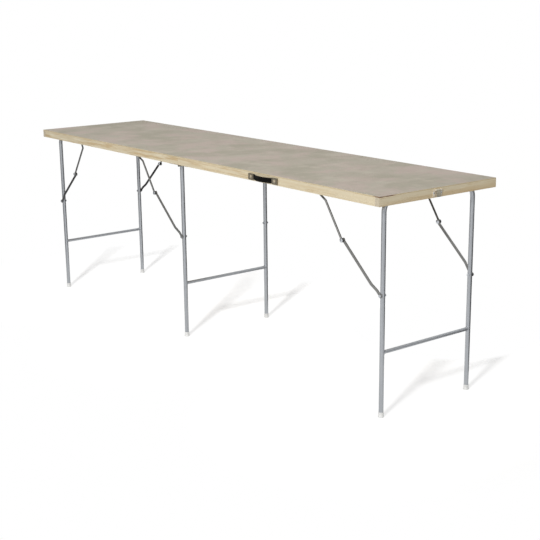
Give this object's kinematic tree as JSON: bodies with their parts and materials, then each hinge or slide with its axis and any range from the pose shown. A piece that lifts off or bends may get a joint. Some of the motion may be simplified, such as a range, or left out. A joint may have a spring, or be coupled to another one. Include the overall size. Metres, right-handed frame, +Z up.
{
  "type": "folding trestle table",
  "caption": "Long folding work table in hinged halves that close like a case, on tubular leg frames with jointed braces, with a carrying strap and an end latch",
  "frame": {"origin": "on the floor, under the middle of the table top", "axes": "+X along the table from the keeper end to the latch end, +Y from the handle side to the far side, +Z up"},
  "size_m": [2.5171, 0.6195, 0.838],
  "materials": {
    "sheet": "matt smooth board, faint grain",
    "rail": "planed pale softwood",
    "batten": "planed softwood",
    "tube": "bright zinc plate",
    "brace": "dark grey satin",
    "foot": "white moulded plastic",
    "strap": "black moulded, soft",
    "fitting": "nickel plate",
    "hinge_steel": "dull zinc plate",
    "screw": "bright zinc plate"
  },
  "bodies": {
    "left_half": {"hinge_pins": "hinge_steel", "keeper_screws": "screw", "latch_keeper": "fitting", "left_back_rail": "rail", "left_brace_screws": "screw", "left_end_rail": "rail", "left_fold_rail": "rail", "left_front_rail": "rail", "left_hinge_leaf_back": "hinge_steel", "left_hinge_leaf_front": "hinge_steel", "left_hinge_screws": "hinge_steel", "left_leg_batten": "batten", "left_saddle_screws": "screw", "left_saddles": "hinge_steel", "left_top_sheet": "sheet", "middle_leg_batten": "batten", "middle_saddle_screws": "screw", "middle_saddles": "hinge_steel"},
    "right_half": {"handle_cap_left": "fitting", "handle_cap_right": "fitting", "handle_screws": "screw", "handle_strap": "strap", "latch_base": "fitting", "latch_pin": "screw", "latch_screws": "screw", "right_back_rail": "rail", "right_brace_screws": "screw", "right_end_rail": "rail", "right_fold_rail": "rail", "right_front_rail": "rail", "right_hinge_leaf_back": "hinge_steel", "right_hinge_leaf_front": "hinge_steel", "right_hinge_screws": "hinge_steel", "right_leg_batten": "batten", "right_saddle_screws": "screw", "right_saddles": "hinge_steel", "right_top_sheet": "sheet"},
    "latch_lever": {"latch_lever": "fitting"},
    "left_legs": {"left_brace_bolts": "screw", "left_crossbar": "tube", "left_feet": "foot", "left_leg_frame": "tube"},
    "middle_legs": {"middle_brace_bolts": "screw", "middle_crossbar": "tube", "middle_feet": "foot", "middle_leg_frame": "tube"},
    "right_legs": {"right_brace_bolts": "screw", "right_crossbar": "tube", "right_feet": "foot", "right_leg_frame": "tube"},
    "left_back_lower_link": {"left_back_lower_link": "brace"},
    "left_back_upper_link": {"left_back_upper_link": "brace"},
    "left_front_lower_link": {"left_front_lower_link": "brace"},
    "left_front_upper_link": {"left_front_upper_link": "brace"},
    "middle_front_lower_link": {"middle_front_lower_link": "brace"},
    "middle_front_upper_link": {"middle_front_upper_link": "brace"},
    "right_back_lower_link": {"right_back_lower_link": "brace"},
    "right_back_upper_link": {"right_back_upper_link": "brace"},
    "right_front_lower_link": {"right_front_lower_link": "brace"},
    "right_front_upper_link": {"right_front_upper_link": "brace"}
  },
  "joints": [
    {"name": "table_fold", "type": "hinge", "parent": "left_half", "child": "right_half", "pos_m": [0, 0, 0.7977], "axis": [0, 1, 0], "range_deg": [0, 90]},
    {"name": "latch_turn", "type": "hinge", "parent": "right_half", "child": "latch_lever", "pos_m": [1.2545, -0.015, 0.829], "axis": [0, -1, 0], "range_deg": [0, 100]},
    {"name": "left_leg_fold", "type": "hinge", "parent": "left_half", "child": "left_legs", "pos_m": [-1.203, 0, 0.7982], "axis": [0, -1, 0], "range_deg": [0, 90]},
    {"name": "left_front_lower_link_turn", "type": "hinge", "parent": "left_legs", "child": "left_front_lower_link", "pos_m": [-1.203, -0.2403, 0.464], "axis": [0, -1, 0], "range_deg": [0, 46.35]},
    {"name": "left_front_upper_link_turn", "type": "hinge", "parent": "left_half", "child": "left_front_upper_link", "pos_m": [-0.89, -0.2757, 0.818], "axis": [0, 1, 0], "range_deg": [0, 52.77]},
    {"name": "left_back_lower_link_turn", "type": "hinge", "parent": "left_legs", "child": "left_back_lower_link", "pos_m": [-1.203, 0.2403, 0.464], "axis": [0, -1, 0], "range_deg": [0, 46.35]},
    {"name": "left_back_upper_link_turn", "type": "hinge", "parent": "left_half", "child": "left_back_upper_link", "pos_m": [-0.89, 0.2757, 0.818], "axis": [0, 1, 0], "range_deg": [0, 52.77]},
    {"name": "middle_leg_fold", "type": "hinge", "parent": "left_half", "child": "middle_legs", "pos_m": [-0.076, 0, 0.8187], "axis": [0, 1, 0], "range_deg": [0, 90]},
    {"name": "middle_front_lower_link_turn", "type": "hinge", "parent": "middle_legs", "child": "middle_front_lower_link", "pos_m": [-0.076, -0.2403, 0.464], "axis": [0, 1, 0], "range_deg": [0, 50.68]},
    {"name": "middle_front_upper_link_turn", "type": "hinge", "parent": "left_half", "child": "middle_front_upper_link", "pos_m": [-0.389, -0.2757, 0.818], "axis": [0, -1, 0], "range_deg": [0, 52.95]},
    {"name": "right_leg_fold", "type": "hinge", "parent": "right_half", "child": "right_legs", "pos_m": [1.2, 0, 0.8187], "axis": [0, 1, 0], "range_deg": [0, 90]},
    {"name": "right_front_lower_link_turn", "type": "hinge", "parent": "right_legs", "child": "right_front_lower_link", "pos_m": [1.2, -0.2403, 0.464], "axis": [0, 1, 0], "range_deg": [0, 50.68]},
    {"name": "right_front_upper_link_turn", "type": "hinge", "parent": "right_half", "child": "right_front_upper_link", "pos_m": [0.887, -0.2757, 0.818], "axis": [0, -1, 0], "range_deg": [0, 52.95]},
    {"name": "right_back_lower_link_turn", "type": "hinge", "parent": "right_legs", "child": "right_back_lower_link", "pos_m": [1.2, 0.2403, 0.464], "axis": [0, 1, 0], "range_deg": [0, 50.68]},
    {"name": "right_back_upper_link_turn", "type": "hinge", "parent": "right_half", "child": "right_back_upper_link", "pos_m": [0.887, 0.2757, 0.818], "axis": [0, -1, 0], "range_deg": [0, 52.95]}
  ],
  "couplings": [
    {"joint": "left_front_lower_link_turn", "follows": "left_leg_fold", "ratio": 0.51484},
    {"joint": "left_front_upper_link_turn", "follows": "left_leg_fold", "ratio": 0.58621},
    {"joint": "left_back_lower_link_turn", "follows": "left_leg_fold", "ratio": 0.51484},
    {"joint": "left_back_upper_link_turn", "follows": "left_leg_fold", "ratio": 0.58621},
    {"joint": "middle_front_lower_link_turn", "follows": "middle_leg_fold", "ratio": 0.56295},
    {"joint": "middle_front_upper_link_turn", "follows": "middle_leg_fold", "ratio": 0.58818},
    {"joint": "right_front_lower_link_turn", "follows": "right_leg_fold", "ratio": 0.56295},
    {"joint": "right_front_upper_link_turn", "follows": "right_leg_fold", "ratio": 0.58818},
    {"joint": "right_back_lower_link_turn", "follows": "right_leg_fold", "ratio": 0.56295},
    {"joint": "right_back_upper_link_turn", "follows": "right_leg_fold", "ratio": 0.58818}
  ]
}
